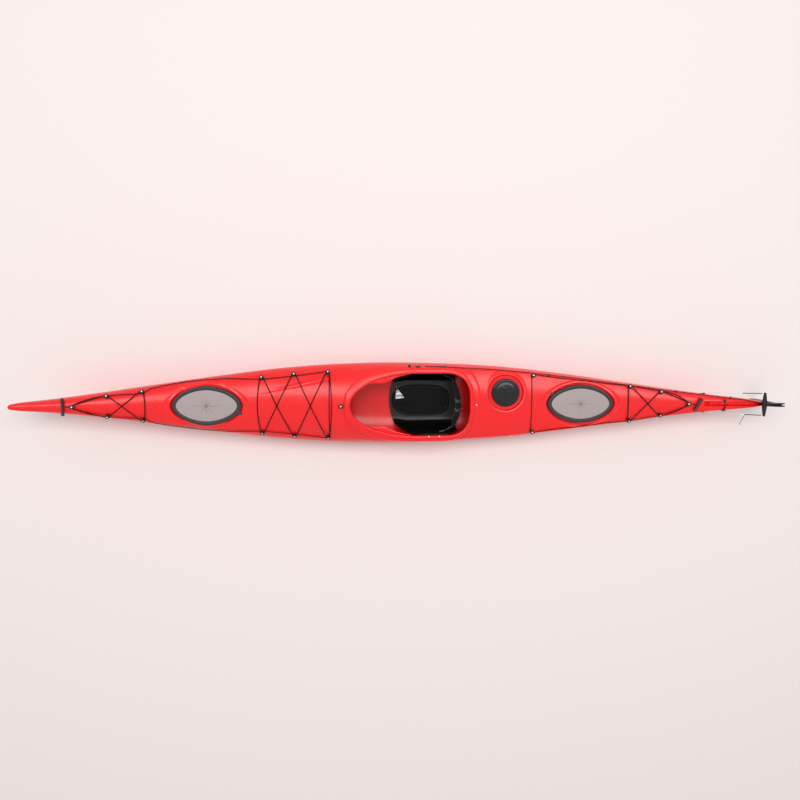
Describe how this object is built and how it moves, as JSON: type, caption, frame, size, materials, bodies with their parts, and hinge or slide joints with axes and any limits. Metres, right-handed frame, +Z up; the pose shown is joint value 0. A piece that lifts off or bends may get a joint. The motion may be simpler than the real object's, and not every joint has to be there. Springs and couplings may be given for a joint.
{
  "type": "sea kayak",
  "caption": "Decked touring sea kayak with a keyhole cockpit, oval and round hatches, deck lines and bungees, foot pedals and a cable-steered rudder that flips up over the stern deck.",
  "frame": {"origin": "on the flat strip of the keel, 2501 mm aft of the bow tip and on the centre plane", "axes": "+X towards the stern, +Y to starboard, +Z up through the deck"},
  "size_m": [5.1406, 0.55, 0.3616],
  "materials": {
    "hull_red": "rotomoulded polyethylene, soft gloss",
    "bulkhead_foam": "closed-cell foam, matt",
    "rubber_black": "moulded rubber, satin",
    "panel_grey": "textured plastic with a raised star",
    "gloss_black": "moulded plastic, glossy",
    "nylon_black": "moulded nylon, satin",
    "pad_black": "foam under stretch fabric",
    "webbing_grey": "woven webbing",
    "cord_black": "braided cord",
    "steel": "stainless steel",
    "aluminium": "anodised aluminium"
  },
  "bodies": {
    "hull": {"hull_shell": "hull_red", "bow_bulkhead": "bulkhead_foam", "mid_bulkhead": "bulkhead_foam", "stern_bulkhead": "bulkhead_foam", "day_hatch_frame": "gloss_black", "seat_pan": "gloss_black", "rudder_bracket": "gloss_black", "fitting_bow_1": "gloss_black", "fitting_bow_2_port": "gloss_black", "fitting_bow_2_starboard": "gloss_black", "fitting_bow_3_port": "gloss_black", "fitting_bow_3_starboard": "gloss_black", "fitting_fore_1_port": "gloss_black", "fitting_fore_1_starboard": "gloss_black", "fitting_fore_2_port": "gloss_black", "fitting_fore_2_starboard": "gloss_black", "fitting_fore_3_port": "gloss_black", "fitting_fore_3_starboard": "gloss_black", "fitting_ridge": "gloss_black", "fitting_aft_1_port": "gloss_black", "fitting_aft_1_starboard": "gloss_black", "fitting_aft_2_port": "gloss_black", "fitting_aft_2_starboard": "gloss_black", "fitting_aft_3_port": "gloss_black", "fitting_aft_3_starboard": "gloss_black", "fitting_stern": "gloss_black", "uphaul_cleat": "nylon_black", "seat_pad": "pad_black", "backband_strap_port": "webbing_grey", "backband_strap_starboard": "webbing_grey", "bow_deck_line": "cord_black", "stern_deck_line": "cord_black", "bow_bungee": "cord_black", "fore_bungee": "cord_black", "aft_bungee": "cord_black", "keeper_bungee": "cord_black", "bow_toggle_cord": "cord_black", "stern_toggle_cord": "cord_black", "uphaul_cord": "cord_black", "rudder_pin": "steel", "rudder_cable_port": "steel", "rudder_cable_starboard": "steel", "foot_rail_port": "aluminium", "foot_rail_starboard": "aluminium"},
    "rudder_head": {"rudder_head": "gloss_black", "blade_bolt": "steel"},
    "rudder_blade": {"rudder_blade": "aluminium"},
    "foot_pedal_port": {"foot_pedal_port": "nylon_black"},
    "foot_pedal_starboard": {"foot_pedal_starboard": "nylon_black"},
    "bow_hatch": {"bow_hatch_cover": "rubber_black", "bow_hatch_panel": "panel_grey"},
    "stern_hatch": {"stern_hatch_cover": "rubber_black", "stern_hatch_panel": "panel_grey"},
    "day_hatch_seal": {"day_hatch_seal": "rubber_black"},
    "day_hatch_lid": {"day_hatch_lid": "gloss_black"},
    "bow_toggle": {"bow_toggle": "nylon_black"},
    "stern_toggle": {"stern_toggle": "nylon_black"},
    "backband": {"seat_backband": "pad_black"}
  },
  "joints": [
    {"name": "rudder_yaw", "type": "hinge", "parent": "hull", "child": "rudder_head", "pos_m": [2.50076, 0, 0.3236], "axis": [0, 0, 1], "range_deg": [-35, 35], "deforming": ["rudder_cable_port", "rudder_cable_starboard", "uphaul_cord"]},
    {"name": "rudder_flip", "type": "hinge", "parent": "rudder_head", "child": "rudder_blade", "pos_m": [2.59976, 0, 0.3446], "axis": [0, -1, 0], "range_deg": [0, 270]},
    {"name": "foot_pedal_port_slide", "type": "slide", "parent": "hull", "child": "foot_pedal_port", "axis": [1, 0, 0], "range_m": [-0.05, 0.05]},
    {"name": "foot_pedal_starboard_slide", "type": "slide", "parent": "hull", "child": "foot_pedal_starboard", "axis": [1, 0, 0], "range_m": [-0.05, 0.05]},
    {"name": "bow_hatch_lift", "type": "slide", "parent": "hull", "child": "bow_hatch", "axis": [0, 0, 1], "range_m": [0, 0.08]},
    {"name": "stern_hatch_lift", "type": "slide", "parent": "hull", "child": "stern_hatch", "axis": [0, 0, 1], "range_m": [0, 0.08]},
    {"name": "day_hatch_rise", "type": "slide", "parent": "hull", "child": "day_hatch_seal", "axis": [0, 0, 1], "range_m": [0, 0.018]},
    {"name": "day_hatch_twist", "type": "hinge", "parent": "day_hatch_seal", "child": "day_hatch_lid", "pos_m": [0.73937, 0.077, 0.25], "axis": [0, 0, 1], "range_deg": [0, 540]},
    {"name": "bow_toggle_swing", "type": "hinge", "parent": "hull", "child": "bow_toggle", "pos_m": [-2.09765, 0, 0.3275], "axis": [0, 1, 0], "range_deg": [0, 120], "deforming": ["bow_toggle_cord"]},
    {"name": "stern_toggle_swing", "type": "hinge", "parent": "hull", "child": "stern_toggle", "pos_m": [1.99382, 0, 0.268], "axis": [0, -1, 0], "range_deg": [0, 120], "deforming": ["stern_toggle_cord"]},
    {"name": "backband_tilt", "type": "hinge", "parent": "hull", "child": "backband", "pos_m": [0.425, 0, 0.1865], "axis": [0, 1, 0], "range_deg": [-15, 20], "deforming": ["backband_strap_port", "backband_strap_starboard"]}
  ],
  "couplings": [
    {"joint": "foot_pedal_starboard_slide", "follows": "rudder_yaw", "m_per_rad": -0.075},
    {"joint": "foot_pedal_port_slide", "follows": "rudder_yaw", "m_per_rad": 0.075},
    {"joint": "day_hatch_rise", "follows": "day_hatch_twist", "m_per_rad": 0.0019098}
  ]
}
